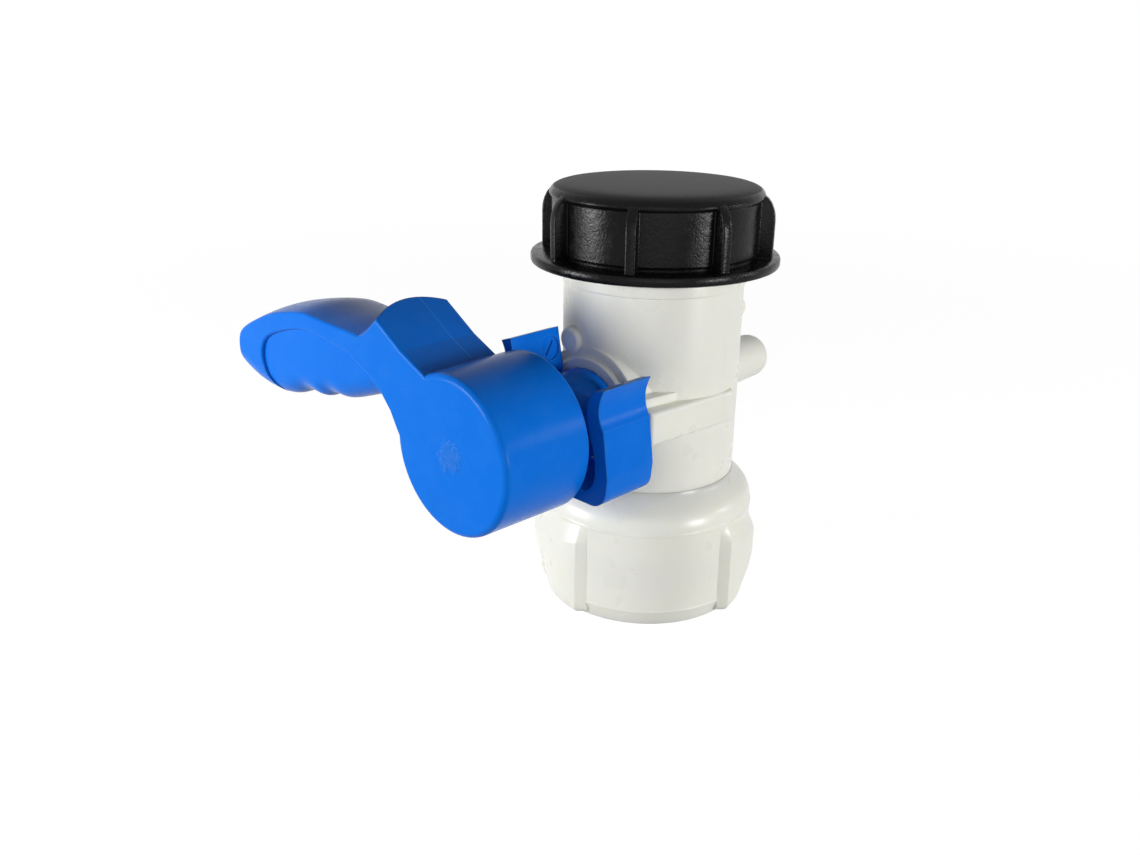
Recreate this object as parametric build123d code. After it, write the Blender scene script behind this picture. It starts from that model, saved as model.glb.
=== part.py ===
from build123d import *
import os
from math import cos, radians, sin

os.makedirs("parts", exist_ok=True)

# All sizes in mm. Origin at the centre of the nut's lower face, +Z along the flow axis.
# The stem leaves the body towards -Y and the grip points to -X with the valve shut.

# Clearances that every fit below is made from
RUN_GAP = 0.05
FREE_GAP = 0.3
SEAT_GAP = 0.1

# Bore, tube wall and outlet thread
BORE_R = 25.0
TUBE_WALL = 4.3
TUBE_R = BORE_R + TUBE_WALL
COLLAR_STEP = 0.5
COLLAR_ROUND = 0.45
THREAD_STEP = 0.7
THREAD_R = TUBE_R + THREAD_STEP
THREAD_DEPTH = 1.6
THREAD_ROOT_R = THREAD_R - THREAD_DEPTH

# Heights, each one set on the one below it
TAIL_Z = 16.0
NUT_WALL_RISE = 17.7
NUT_DOME_RISE = 12.1
STEM_RISE = 25.3
COLLAR_RISE = 38.3
COLLAR_H = 3.6
OUTLET_H = 19.4
NUT_WALL_Z = TAIL_Z + NUT_WALL_RISE
NUT_TOP_Z = NUT_WALL_Z + NUT_DOME_RISE
STEM_Z = NUT_TOP_Z + STEM_RISE
COLLAR_Z = STEM_Z + COLLAR_RISE
COLLAR_TOP_Z = COLLAR_Z + COLLAR_H
BODY_TOP_Z = COLLAR_TOP_Z + OUTLET_H

# Stem, from which the guide, the neck and the boss get their radii
STEM_R = 6.0
DRIVE_FLAT = 1.0
DISC_FLAT = 1.8
GUIDE_WALL = 4.15
NECK_WALL = 3.7
BOSS_SHELF = 3.5
BOSS_FLARE = 3.2
BOSS_SPREAD = 1.0
STEM_SQUARE = 2 * (STEM_R - DRIVE_FLAT)
DISC_SQUARE = 2 * (STEM_R - DISC_FLAT)
GUIDE_R = STEM_R + RUN_GAP + GUIDE_WALL
NECK_R = GUIDE_R + FREE_GAP + NECK_WALL
BOSS_R = NECK_R + BOSS_SHELF

# Stations along the stem, from the tube out to the front of the drum
BOSS_REACH = 1.5
BOSS_L = 11.8
BOSS_EDGE = 0.7
GUIDE_L = 17.2
CLIP_GAP = 0.9
CLIP_L = 20.3
CLIP_ROOM = 3.5
DRUM_L = 31.3
DRIVE_L = 20.2
BOSS_Y = -TUBE_R - BOSS_REACH
BOSS_ROOT_Y = BOSS_Y + BOSS_L
GUIDE_Y = BOSS_Y - GUIDE_L
CLIP_REAR_Y = BOSS_Y - CLIP_GAP
CLIP_FRONT_Y = CLIP_REAR_Y - CLIP_L
DRUM_REAR_Y = CLIP_FRONT_Y - CLIP_ROOM
DRUM_FRONT_Y = DRUM_REAR_Y - DRUM_L
STEM_FRONT_Y = GUIDE_Y - FREE_GAP - DRIVE_L

# Far bearing
FAR_JOURNAL_R = DISC_SQUARE / 2
FAR_BOSS_WALL = 3.4
FAR_BOSS_FLARE = 2.2
FAR_BOSS_L = 31.7
FAR_ROUND = 4.5
FAR_WALL = 5.0
FAR_BOSS_R = FAR_JOURNAL_R + FAR_BOSS_WALL
FAR_BOSS_ROOT_R = FAR_BOSS_R + FAR_BOSS_FLARE
FAR_BOSS_Y = TUBE_R + FAR_BOSS_L

# Side bars, ledge, stop peg and gate nub on the body
BAR_RISE = 0.6
BAR_HALF_H = 5.4
BAR_OUT = 1.4
BAR_SPREAD = 3.4
BAR_REAR_Y = 5.0
BAR_EDGE = 1.2
LEDGE_OUT = 5.0
LEDGE_H = 2.9
LEDGE_SET = 2.3
LEDGE_L = 15.0
PEG_R = 4.5
PEG_X = -8.4
PEG_RISE = 21.4
PEG_OUT = 1.1
PEG_L = 9.0
PEG_EDGE = 1.6
NUB_R = 4.5
NUB_OUT = 0.9
NUB_DROP = 7.9
NUB_ANGLE = 32.0

# Coupling nut, dome points are shares of the way in to the lip and up to the top
NUT_THREAD_GAP = 0.3
NUT_WALL = 5.9
NUT_FOOT_IN = 1.8
NUT_FOOT_EDGE = 0.8
NUT_RIM_Z = 5.9
NUT_LIP = 0.12
NUT_LIP_H = 4.0
NUT_BEAD = 0.3
NUT_BEAD_H = 1.1
NUT_DOME = [(0.03, 0.2), (0.2, 0.45), (0.52, 0.64), (0.8, 0.78), (0.94, 0.89)]
NUT_BORE_R = THREAD_R + NUT_THREAD_GAP
NUT_R = NUT_BORE_R + NUT_WALL
NUT_FOOT_R = NUT_R - NUT_FOOT_IN
LUG_PROUD = 2.4
LUG_FLANKS = ((-85.0, -1), (-1.0, 1), (95.0, -1), (179.0, 1))
LUG_SWEEP = 48.0
LUG_STATIONS = 5
LUG_RAMP = 4.5
LUG_FOOT_Z = 1.8
LUG_FOOT_EDGE = 1.2
LUG_SLOPE = 6.0
LUG_FALL = 7.0
LUG_FACE = 1.2
LUG_TAPER = 4.0

# Ring that holds the nut, and the gaskets
RING_DEPTH = 1.7
RING_PROUD = 2.6
RING_H = 3.6
RING_RISE = 2.2
RING_SPLIT = 4.0
GASKET_H = 2.6
CAP_GASKET_H = 2.0
THREAD_RELIEF = 0.4
RING_Z = TAIL_Z + RING_RISE
RING_R = TUBE_R + RING_PROUD
NUT_THREAD_H = TAIL_Z - GASKET_H - THREAD_RELIEF

# Dust cap
CAP_THREAD_GAP = 0.6
CAP_WALL = 3.6
CAP_LIP_OUT = 1.0
CAP_LIP_H = 0.8
CAP_RIB_OUT = 3.4
CAP_BRIM_OUT = 5.8
CAP_BRIM_H = 3.1
CAP_BRIM_EDGE = 0.8
CAP_CLEAR = 2.2
CAP_GROOVE = 0.7
CAP_GROOVE_H = 1.4
CAP_ROOF = 3.3
CAP_EDGE = 1.4
CAP_ROUND = (0.293, 0.707)
CAP_DOME = [(0.33, 0.55), (0.66, 0.88)]
CAP_DOME_H = 1.5
CAP_RIBS = 8
CAP_RIB_W = 3.2
CAP_RIB_EDGE = 0.6
CAP_RIB_ANGLE = -61.0
CAP_RIB_BEND = 6.5
CAP_BORE_R = THREAD_R + CAP_THREAD_GAP
CAP_WALL_R = CAP_BORE_R + CAP_WALL
CAP_LIP_R = CAP_WALL_R + CAP_LIP_OUT
CAP_RIB_R = CAP_WALL_R + CAP_RIB_OUT
CAP_BRIM_R = CAP_WALL_R + CAP_BRIM_OUT
CAP_BRIM_Z = COLLAR_TOP_Z + CAP_CLEAR
CAP_BRIM_TOP_Z = CAP_BRIM_Z + CAP_BRIM_H
CAP_INSIDE_Z = BODY_TOP_Z + CAP_GASKET_H
CAP_LIP_Z = CAP_INSIDE_Z + CAP_ROOF
CAP_TOP_Z = CAP_LIP_Z + CAP_EDGE + CAP_DOME_H

# Handle: drum, neck and socket
DRUM_FRONT_R = 24.3
DRUM_DRAFT = 0.55
DRUM_EDGE = 1.8
DRUM_WALL = 3.0
DRUM_FACE = 3.5
DRUM_RIBS = 6
DRUM_RIB_W = 2.4
DRUM_RIB_SET = 7.0
NECK_WEB = 1.0
SINK = 1.0
DRUM_BORE_R = DRUM_FRONT_R - DRUM_WALL

# Handle: grip and arm, points are (x, height above the stem axis)
GRIP_SET = 4.5
GRIP_CROWN = 2.0
GRIP_RECESS = 1.2
GRIP_ROUND = 7.0
GRIP_EDGE = 1.0
ARM_SET = 3.0
ARM_CROWN = 5.6
ARM_REAR_SWELL = 1.6
ARM_EDGE = 0.9
ARM_DIR = (-0.838, 0.546)
GRIP_REAR_Y = DRUM_REAR_Y - GRIP_SET
ARM_REAR_Y = DRUM_REAR_Y - ARM_SET
RIM_TOP = [
    (-38.0, 26.6),
    (-41.7, 26.7),
    (-49.9, 27.1),
    (-59.1, 27.4),
    (-66.6, 27.8),
    (-73.0, 27.9),
    (-81.2, 26.7),
    (-89.2, 24.9),
    (-96.6, 22.6),
    (-104.7, 19.2),
    (-111.5, 15.8),
]
RIM_END = [
    (-111.5, 15.8),
    (-115.3, 12.6),
    (-116.6, 8.0),
    (-115.6, 3.6),
    (-112.4, 0.2),
    (-107.3, -2.8),
    (-100.0, -4.4),
]
RIM_INNER = [
    (-93.6, -4.6),
    (-98.2, 0.6),
    (-100.5, 4.7),
    (-100.7, 8.9),
    (-98.4, 13.4),
    (-92.7, 16.9),
    (-84.4, 19.8),
    (-76.0, 21.7),
    (-69.3, 22.2),
    (-62.3, 21.8),
    (-56.1, 20.9),
    (-48.3, 20.0),
    (-38.0, 16.4),
]
UNDERSIDE = [
    (-105.0, -2.2),
    (-100.6, -4.6),
    (-91.0, -5.0),
    (-83.8, -2.7),
    (-78.8, -0.7),
    (-73.5, -0.9),
    (-68.9, -0.5),
    (-64.3, 1.6),
    (-58.7, 1.7),
    (-52.5, 3.0),
    (-47.0, 4.9),
    (-42.8, 6.4),
    (-33.0, 9.9),
]
CORE_TOP = [(-31.0, 14.0), (-46.0, 22.5), (-70.0, 24.5), (-94.0, 19.5), (-105.0, 10.0)]
ROUND_LOWER = [(-126.0, 3.0), (-118.0, -0.6), (-111.0, -3.2), (-104.0, -4.7), (-92.0, -5.2), (-30.0, -5.2)]
ROUND_TOP = [(-30.0, 40.0), (-126.0, 40.0)]
ARM_TOP = [(-3.0, 17.0), (-10.5, 22.0), (-20.7, 26.8), (-31.9, 33.9)]
ARM_END = [(-31.9, 33.9), (-35.0, 31.1), (-38.3, 28.4), (-42.2, 26.6), (-47.0, 25.6)]
ARM_UNDER = [(-47.0, 19.6), (-37.6, 15.8), (-31.2, 11.4), (-27.2, 7.1), (-24.4, 2.2), (-18.0, -8.0)]
HOLLOW_WALL = 5.3
HOLLOW = [
    (-13.0, 15.0),
    (-22.0, 21.5),
    (-31.0, 26.5),
    (-38.0, 22.0),
    (-70.0, 23.0),
    (-90.0, 18.5),
    (-104.0, 12.0),
    (-104.0, 6.0),
    (-90.0, 2.0),
    (-78.0, 5.0),
    (-60.0, 7.5),
    (-44.0, 11.0),
    (-36.0, 13.0),
    (-28.0, 9.0),
    (-22.0, 3.0),
    (-16.0, 0.0),
]

# Disc, seal and O-rings
DISC_GAP = 0.2
DISC_HALF_T = 3.5
HUB_WALL = 2.2
SEAL_DEPTH = 2.2
SEAL_HALF_T = 1.6
SEAL_COLLAR_IN = 0.6
ORING_R = 0.78
ORING_GROOVE_W = 2.0
DISC_R = BORE_R - DISC_GAP
HUB_R = STEM_R + HUB_WALL
SEAL_COLLAR_R = HUB_R - SEAL_COLLAR_IN
ORING_INSET = {"stem_oring_outer": 4.5, "stem_oring_inner": 11.5}

# Lock clip, points are (x, height above the stem axis) in radii of the neck that it hugs
CLIP_RIGHT_OUT = [(1.901, 1.282), (1.81, 1.056), (1.775, 0.803), (1.817, 0.592), (1.915, 0.408)]
CLIP_FOOT = [(1.915, 0.408), (2.05, -0.6), (1.98, -1.31), (-1.338, -1.31), (-1.338, -0.634)]
CLIP_FOOT_ROUND = 6.0
CLIP_LEFT_OUT = [(-1.338, -0.634), (-1.338, 0.211), (-1.056, 0.775), (-0.986, 1.162), (-1.141, 1.704)]
CLIP_TAB = [(-0.845, 1.803), (-0.662, 0.852)]
CLIP_LEFT_IN = [(-0.662, 0.852), (-0.803, 0.676), (-1.049, 0.07), (-0.915, -0.634)]
CLIP_FLOOR_IN = [(-0.915, -0.634), (-0.528, -0.958), (0.0, -1.049), (1.408, -1.049)]
CLIP_RIGHT_IN = [
    (1.408, -1.049),
    (1.662, -0.775),
    (1.704, -0.423),
    (1.634, -0.056),
    (1.493, 0.324),
    (1.43, 0.606),
    (1.648, 1.211),
]
MARK_R = 3.9
MARK_DEPTH = 0.6
MARK_SHARE = 0.44
MARK_SET = 4.6
MARK_SLOT = (1.0, 5.6)
MARK_TURN = -40.0


def lathe(points):
    """Solid of revolution about the flow axis from (radius, z) points."""
    return revolve(make_face(Plane.XZ * Polyline(*points, close=True)), Axis.Z)


def post(radius, z0, z1):
    """Upright cylinder on the flow axis."""
    return Pos(0, 0, z0) * Cylinder(radius, z1 - z0, align=(Align.CENTER, Align.CENTER, Align.MIN))


def rod(radius, y0, y1):
    """Cylinder on the stem axis from y0 to y1."""
    place = Plane((0, y0, STEM_Z), x_dir=(1, 0, 0), z_dir=(0, 1, 0))
    return place * Cylinder(radius, y1 - y0, align=(Align.CENTER, Align.CENTER, Align.MIN))


def taper(radius0, radius1, y0, y1):
    """Cone on the stem axis from radius0 at y0 to radius1 at y1."""
    place = Plane((0, y0, STEM_Z), x_dir=(1, 0, 0), z_dir=(0, 1, 0))
    return place * Cone(radius0, radius1, y1 - y0, align=(Align.CENTER, Align.CENTER, Align.MIN))


def square_rod(side, y0, y1):
    """Square bar on the stem axis from y0 to y1."""
    return Pos(0, (y0 + y1) / 2, STEM_Z) * Box(side, y1 - y0, side)


def block(xs, ys, zs):
    """Box from three (low, high) pairs."""
    middle = Pos(sum(xs) / 2, sum(ys) / 2, sum(zs) / 2)
    return middle * Box(xs[1] - xs[0], ys[1] - ys[0], zs[1] - zs[0])


def upright(y):
    """Drawing plane across the stem axis at y, seen from the front, centred on the stem."""
    return Plane((0, y, STEM_Z), x_dir=(1, 0, 0), z_dir=(0, -1, 0))


def polar(radius, angle):
    """Point (x, y) at a radius and an angle in degrees about the flow axis."""
    return radius * cos(radians(angle)), radius * sin(radians(angle))


def between(start, end, shares):
    """Points that lie the given (radial, axial) shares of the way from start to end."""
    return [(start[0] + a * (end[0] - start[0]), start[1] + b * (end[1] - start[1])) for a, b in shares]


def boss():
    """Ring round the neck that flares in a hollow curve to meet the tube."""
    flare = (BOSS_R + BOSS_FLARE, -TUBE_R)
    corner = (BOSS_R, BOSS_Y + BOSS_EDGE)
    outline = [
        Polyline((0, BOSS_Y), (BOSS_R - BOSS_EDGE, BOSS_Y), corner),
        Spline(corner, flare, tangents=[(0, 1), (1, 1)]),
        Polyline(flare, (flare[0] + BOSS_SPREAD, BOSS_ROOT_Y), (0, BOSS_ROOT_Y), (0, BOSS_Y)),
    ]
    across = Plane((0, 0, STEM_Z), x_dir=(1, 0, 0), z_dir=(0, 0, 1))
    return revolve(across * make_face(outline), Axis((0, 0, STEM_Z), (0, 1, 0)))


def side_bar(side):
    """Bar beside the boss, near the height of the stem, from the boss front to the tube's flank."""
    front = BOSS_Y + FREE_GAP
    rear_x = TUBE_R + BAR_OUT
    outline = Polyline(
        (side * NECK_R, front),
        (side * (rear_x - BAR_SPREAD), front),
        (side * rear_x, BAR_REAR_Y),
        (side * BORE_R, 2 * BAR_REAR_Y),
        close=True,
    )
    low = STEM_Z + BAR_RISE - BAR_HALF_H
    bar = Pos(0, 0, low) * extrude(make_face(outline), amount=2 * BAR_HALF_H)
    outer = bar.faces().sort_by(Axis.X)[-1 if side > 0 else 0]
    return fillet(outer.edges(), BAR_EDGE)


def ledge():
    """Low step on the right bar that runs from the boss into the tube."""
    front = BOSS_Y + LEDGE_SET
    outer = BOSS_R + LEDGE_OUT
    outline = Polyline(
        (NECK_R, front), (outer, front), (outer + LEDGE_SET, front + LEDGE_L), (NECK_R, front + LEDGE_L), close=True
    )
    foot = STEM_Z + BAR_RISE
    return Pos(0, 0, foot) * extrude(make_face(outline), amount=BAR_HALF_H + LEDGE_H)


def stop_peg():
    """Round peg on the tube behind the clip's thumb tab."""
    front = Plane((PEG_X, -TUBE_R - PEG_OUT, STEM_Z + PEG_RISE), x_dir=(1, 0, 0), z_dir=(0, 1, 0))
    peg = front * Cylinder(PEG_R, PEG_L, align=(Align.CENTER, Align.CENTER, Align.MIN))
    return fillet(peg.edges().group_by(Axis.Y)[0], PEG_EDGE)


def gate_nub():
    """Rounded gate mark high on the tube's flank."""
    x, y = polar(TUBE_R + NUB_OUT - NUB_R, NUB_ANGLE)
    return Pos(x, y, COLLAR_Z - NUB_DROP) * Sphere(NUB_R)


def valve_body():
    """Tube with outlet, boss, guide, far bearing, bars, ledge, peg and nub in one moulding."""
    low, high = RING_Z - SEAT_GAP, RING_Z + RING_H + SEAT_GAP
    collar_r = TUBE_R + COLLAR_STEP
    tube = lathe(
        [
            (0, TAIL_Z),
            (TUBE_R, TAIL_Z),
            (TUBE_R, low),
            (TUBE_R - RING_DEPTH, low),
            (TUBE_R - RING_DEPTH, high),
            (TUBE_R, high),
            (TUBE_R, COLLAR_Z),
            (collar_r, COLLAR_Z),
            (collar_r, COLLAR_TOP_Z),
            (THREAD_ROOT_R, COLLAR_TOP_Z),
            (THREAD_ROOT_R, BODY_TOP_Z),
            (0, BODY_TOP_Z),
        ]
    )
    rings = tube.edges().filter_by(GeomType.CIRCLE)
    tube = fillet([ring for ring in rings if abs(ring.radius - collar_r) < SEAT_GAP], COLLAR_ROUND)
    far = taper(FAR_BOSS_ROOT_R, FAR_BOSS_R, BORE_R / 2, FAR_BOSS_Y)
    far = fillet(far.edges().group_by(Axis.Y)[-1], FAR_ROUND)
    solid = tube + boss() + far + side_bar(1) + side_bar(-1) + ledge() + stop_peg() + gate_nub()
    solid -= post(BORE_R, 0, BODY_TOP_Z + TAIL_Z)
    solid += rod(GUIDE_R, GUIDE_Y, -BORE_R) - post(BORE_R, 0, BODY_TOP_Z)
    solid -= rod(STEM_R + RUN_GAP, GUIDE_Y, 0)
    return solid - rod(FAR_JOURNAL_R + RUN_GAP, 0, FAR_BOSS_Y - FAR_WALL)


def lug_section(angle, along, proud):
    """Upright cut through a lug at an angle, along from its flank, 0, to its far end, 1."""
    root_r, lug_r = NUT_FOOT_R - NUT_FOOT_EDGE, NUT_R + proud
    top = NUT_WALL_Z - along * LUG_FALL
    face_top = top - LUG_SLOPE
    foot = LUG_FOOT_Z + along * LUG_FOOT_EDGE
    face_low = foot + LUG_FOOT_EDGE + along * (face_top - LUG_FACE - foot - LUG_FOOT_EDGE)
    foot_r = max(root_r + LUG_FOOT_EDGE / 2, lug_r - LUG_FOOT_EDGE - along * (LUG_TAPER - LUG_FOOT_EDGE))
    cut = [(root_r, foot), (foot_r, foot), (lug_r, face_low), (lug_r, face_top), (NUT_R, top), (root_r, top)]
    return Rot(0, 0, angle) * make_face(Plane.XZ * Polyline(*cut, close=True))


def nut_lug(flank, hand):
    """Lug that rises in a short ramp at its flank and thins out towards its far end."""
    far = flank + hand * LUG_SWEEP
    shares = [step / (LUG_STATIONS - 1) for step in range(LUG_STATIONS)]
    lug = loft([lug_section(flank + hand * share * LUG_SWEEP, share, LUG_PROUD) for share in shares])
    lug += loft([lug_section(flank - hand * LUG_RAMP, 0, SEAT_GAP), lug_section(flank, 0, LUG_PROUD)], ruled=True)
    return lug + loft([lug_section(far, 1, LUG_PROUD), lug_section(far + hand * LUG_RAMP, 1, SEAT_GAP)], ruled=True)


def bead(z):
    """Fine raised line round the nut's wall at height z."""
    low, high = (NUT_R, z - NUT_BEAD_H / 2), (NUT_R, z + NUT_BEAD_H / 2)
    root = NUT_R - NUT_BEAD
    outline = [
        ThreePointArc(low, (NUT_R + NUT_BEAD, z), high),
        Polyline(high, (root, high[1]), (root, low[1]), low),
    ]
    return revolve(make_face(Plane.XZ * Curve(outline)), Axis.Z)


def coupling_nut():
    """Nut with domed shoulder, beads above and below its wall, four lugs and a bore for the coarse thread."""
    shelf = RING_Z + RING_H + SEAT_GAP + FREE_GAP
    lip, room = TUBE_R + RUN_GAP, TUBE_R + FREE_GAP
    wall_top, dome_top = (NUT_R, NUT_WALL_Z), (lip + NUT_LIP, NUT_TOP_Z)
    outside = Polyline(
        (NUT_BORE_R, 0),
        (NUT_FOOT_R - NUT_FOOT_EDGE, 0),
        (NUT_FOOT_R, NUT_FOOT_EDGE),
        (NUT_R, NUT_RIM_Z),
        wall_top,
    )
    dome = Spline(wall_top, *between(wall_top, dome_top, NUT_DOME), dome_top)
    inside = Polyline(
        dome_top,
        (lip, NUT_TOP_Z),
        (lip, NUT_TOP_Z - NUT_LIP_H),
        (room, NUT_TOP_Z - NUT_LIP_H),
        (room, shelf),
        (RING_R + FREE_GAP, shelf),
        (RING_R + FREE_GAP, NUT_THREAD_H),
        (NUT_BORE_R, NUT_THREAD_H),
        (NUT_BORE_R, 0),
    )
    nut = revolve(make_face(Plane.XZ * Curve([outside, dome, inside])), Axis.Z)
    nut += bead(NUT_WALL_Z) + bead(NUT_RIM_Z)
    for flank, hand in LUG_FLANKS:
        nut += nut_lug(flank, hand)
    return nut


def nut_ring():
    """Split ring in the groove of the tail, which the nut's shoulder bears on."""
    inner = TUBE_R - RING_DEPTH + SEAT_GAP
    ring = post(RING_R, RING_Z, RING_Z + RING_H) - post(inner, RING_Z, RING_Z + RING_H)
    return ring - block((0, 2 * RING_R), (-RING_SPLIT / 2, RING_SPLIT / 2), (0, NUT_TOP_Z))


def inlet_gasket():
    """Flat gasket under the tail of the body."""
    return post(TUBE_R + SEAT_GAP, TAIL_Z - GASKET_H, TAIL_Z) - post(BORE_R, 0, TAIL_Z)


def cap_rib(angle):
    """One upright rib of the cap, rounded over towards the lip."""
    root = (CAP_BORE_R + CAP_WALL_R) / 2
    foot = CAP_BRIM_Z + CAP_BRIM_H / 2
    shoulder = (CAP_LIP_R - CAP_EDGE, CAP_LIP_Z + CAP_EDGE / 2)
    bend = (CAP_RIB_R, CAP_LIP_Z - CAP_RIB_BEND)
    middle = ((CAP_LIP_R + CAP_RIB_R) / 2 + CAP_EDGE / 2, CAP_LIP_Z - CAP_EDGE)
    outline = [
        Polyline(shoulder, (root, shoulder[1]), (root, foot), (CAP_RIB_R, foot), bend),
        ThreePointArc(bend, middle, shoulder),
    ]
    rib = extrude(make_face(Plane.XZ * Curve(outline)), amount=CAP_RIB_W / 2, both=True)
    outer = [edge for edge in rib.edges() if edge.center().X > CAP_LIP_R and abs(edge.center().Y) > SEAT_GAP]
    return Rot(0, 0, angle) * fillet(outer, CAP_RIB_EDGE)


def dust_cap():
    """Cap with brim, grooved foot, wall, lip, low dome and ribs."""
    groove_r = CAP_WALL_R - CAP_GROOVE
    lip, shoulder = (CAP_LIP_R, CAP_LIP_Z), (CAP_LIP_R - CAP_EDGE, CAP_LIP_Z + CAP_EDGE)
    top = (0, CAP_TOP_Z)
    outside = Polyline(
        (0, CAP_INSIDE_Z),
        (CAP_BORE_R, CAP_INSIDE_Z),
        (CAP_BORE_R, CAP_BRIM_Z),
        (CAP_BRIM_R - CAP_BRIM_EDGE, CAP_BRIM_Z),
        (CAP_BRIM_R, CAP_BRIM_Z + CAP_BRIM_EDGE),
        (CAP_BRIM_R, CAP_BRIM_TOP_Z - CAP_BRIM_EDGE),
        (CAP_BRIM_R - CAP_BRIM_EDGE, CAP_BRIM_TOP_Z),
        (groove_r, CAP_BRIM_TOP_Z),
        (groove_r, CAP_BRIM_TOP_Z + CAP_GROOVE_H / 2),
        (CAP_WALL_R, CAP_BRIM_TOP_Z + CAP_GROOVE_H),
        (CAP_WALL_R, CAP_LIP_Z - CAP_LIP_H),
        lip,
    )
    edge = ThreePointArc(lip, between(lip, shoulder, [CAP_ROUND])[0], shoulder)
    dome = Spline(shoulder, *between(shoulder, top, CAP_DOME), top)
    cap = revolve(make_face(Plane.XZ * Curve([outside, edge, dome, Line(top, (0, CAP_INSIDE_Z))])), Axis.Z)
    for index in range(CAP_RIBS):
        cap += cap_rib(CAP_RIB_ANGLE + index * 360 / CAP_RIBS)
    return cap


def cap_gasket():
    """Flat disc that the outlet's end face seals on."""
    return post(CAP_BORE_R - SEAT_GAP, BODY_TOP_Z, CAP_INSIDE_Z)


def rim_face(y, swell):
    """Outline of the raised rim at y, its top and end pushed out by swell."""
    low = RIM_END[-1][1]
    height = RIM_END[0][1] - low
    top = [(x, z + swell) for x, z in RIM_TOP]
    end = [(x - swell / 2, z + swell * (z - low) / height) for x, z in RIM_END]
    end[0] = top[-1]
    outer = Spline(*top, *end[1:])
    inner = Spline(*RIM_INNER)
    tail = Line(end[-1], RIM_INNER[0])
    return upright(y) * make_face([outer, tail, inner, Line(RIM_INNER[-1], top[0])])


def arm_face(y, swell):
    """Outline of the arm at y, its far end pushed along the arm by swell."""
    shift = (ARM_DIR[0] * swell, ARM_DIR[1] * swell)
    end = [(x + shift[0], z + shift[1]) for x, z in ARM_END[:3]]
    end += [(x + shift[0] / 2, z + GRIP_CROWN * swell / ARM_CROWN) for x, z in ARM_END[3:]]
    top = Polyline(*ARM_TOP[:-1], end[0])
    slope = Spline(*end)
    under = Polyline(end[-1], *ARM_UNDER, ARM_TOP[0])
    return upright(y) * make_face([top, slope, under])


def rounded_below(lower, upper, inset, radius):
    """Slab of the grip's depth less an inset, bounded by a spline below that has rounded edges."""
    front, rear = DRUM_FRONT_Y + inset, GRIP_REAR_Y - inset
    outline = [Spline(*lower), Polyline(lower[-1], *upper, lower[0])]
    slab = extrude(upright(front) * make_face(outline), amount=front - rear)
    return fillet(slab.edges().filter_by(GeomType.BSPLINE), radius)


def grip():
    """Raised rim round a set-in core with finger waves, both rounded below."""
    middle = (DRUM_FRONT_Y + GRIP_REAR_Y) / 2
    rim = loft([rim_face(DRUM_FRONT_Y, 0), rim_face(middle, GRIP_CROWN), rim_face(GRIP_REAR_Y, 0)])
    ends = rim.faces().sort_by(Axis.Y)
    rim = fillet(ends[0].edges() + ends[-1].edges(), GRIP_EDGE)
    rim &= rounded_below(ROUND_LOWER, ROUND_TOP, 0, GRIP_ROUND + GRIP_RECESS)
    return rim + rounded_below(UNDERSIDE, CORE_TOP, GRIP_RECESS, GRIP_ROUND)


def arm():
    """Raised arm with a crowned end, its edges rounded."""
    middle = (DRUM_FRONT_Y + ARM_REAR_Y) / 2
    solid = loft([arm_face(DRUM_FRONT_Y, 0), arm_face(middle, ARM_CROWN), arm_face(ARM_REAR_Y, ARM_REAR_SWELL)])
    ends = solid.faces().sort_by(Axis.Y)
    above = [e for e in ends[0].edges() + ends[-1].edges() if e.center().Z - STEM_Z > ARM_TOP[0][1] + SINK]
    return fillet(above, ARM_EDGE)


def handle():
    """Drum, neck with socket, arm and grip in one moulding."""
    drum = taper(DRUM_FRONT_R, DRUM_FRONT_R + DRUM_DRAFT, DRUM_FRONT_Y, DRUM_REAR_Y)
    drum = fillet(drum.edges().group_by(Axis.Y)[0], DRUM_EDGE)
    solid = drum + arm() + grip()
    front, rear = DRUM_FRONT_Y + HOLLOW_WALL, GRIP_REAR_Y - HOLLOW_WALL
    hollow = extrude(upright(front) * make_face(Polyline(*HOLLOW, close=True)), amount=front - rear)
    floor = DRUM_FRONT_Y + DRUM_FACE
    solid -= hollow + rod(DRUM_BORE_R, floor, DRUM_REAR_Y)
    solid += rod(NECK_R, floor - SINK, BOSS_Y - FREE_GAP)
    for index in range(DRUM_RIBS):
        ys = (floor - SINK, DRUM_REAR_Y - DRUM_RIB_SET)
        rib = block((NECK_R - SINK, DRUM_BORE_R + SINK), ys, (-DRUM_RIB_W / 2, DRUM_RIB_W / 2))
        solid += Pos(0, 0, STEM_Z) * Rot(0, index * 360 / DRUM_RIBS, 0) * rib
    solid -= rod(GUIDE_R + FREE_GAP, GUIDE_Y - NECK_WEB, BOSS_Y)
    return solid - square_rod(STEM_SQUARE + 2 * SEAT_GAP, STEM_FRONT_Y - FREE_GAP, BOSS_Y)


def oring_groove(y):
    """Space cut from the stem for one O-ring."""
    floor = STEM_R - 2 * ORING_R - SEAT_GAP
    half = ORING_GROOVE_W / 2
    return rod(GUIDE_R, y - half, y + half) - rod(floor, y - half, y + half)


def stem():
    """Shaft with a square drive, a sealed journal, a square through the disc and a far journal."""
    shaft = square_rod(STEM_SQUARE, STEM_FRONT_Y, GUIDE_Y - FREE_GAP)
    shaft += rod(STEM_R, GUIDE_Y - 2 * FREE_GAP, -BORE_R + FREE_GAP)
    shaft += square_rod(DISC_SQUARE, -BORE_R + FREE_GAP, DISC_R - SEAL_DEPTH / 4)
    shaft += rod(FAR_JOURNAL_R, 0, FAR_BOSS_Y - FAR_WALL - FREE_GAP)
    for inset in ORING_INSET.values():
        shaft -= oring_groove(GUIDE_Y + inset)
    return shaft


def ball(radius):
    """Sphere about the crossing of the stem and flow axes."""
    return Pos(0, 0, STEM_Z) * Sphere(radius)


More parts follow.
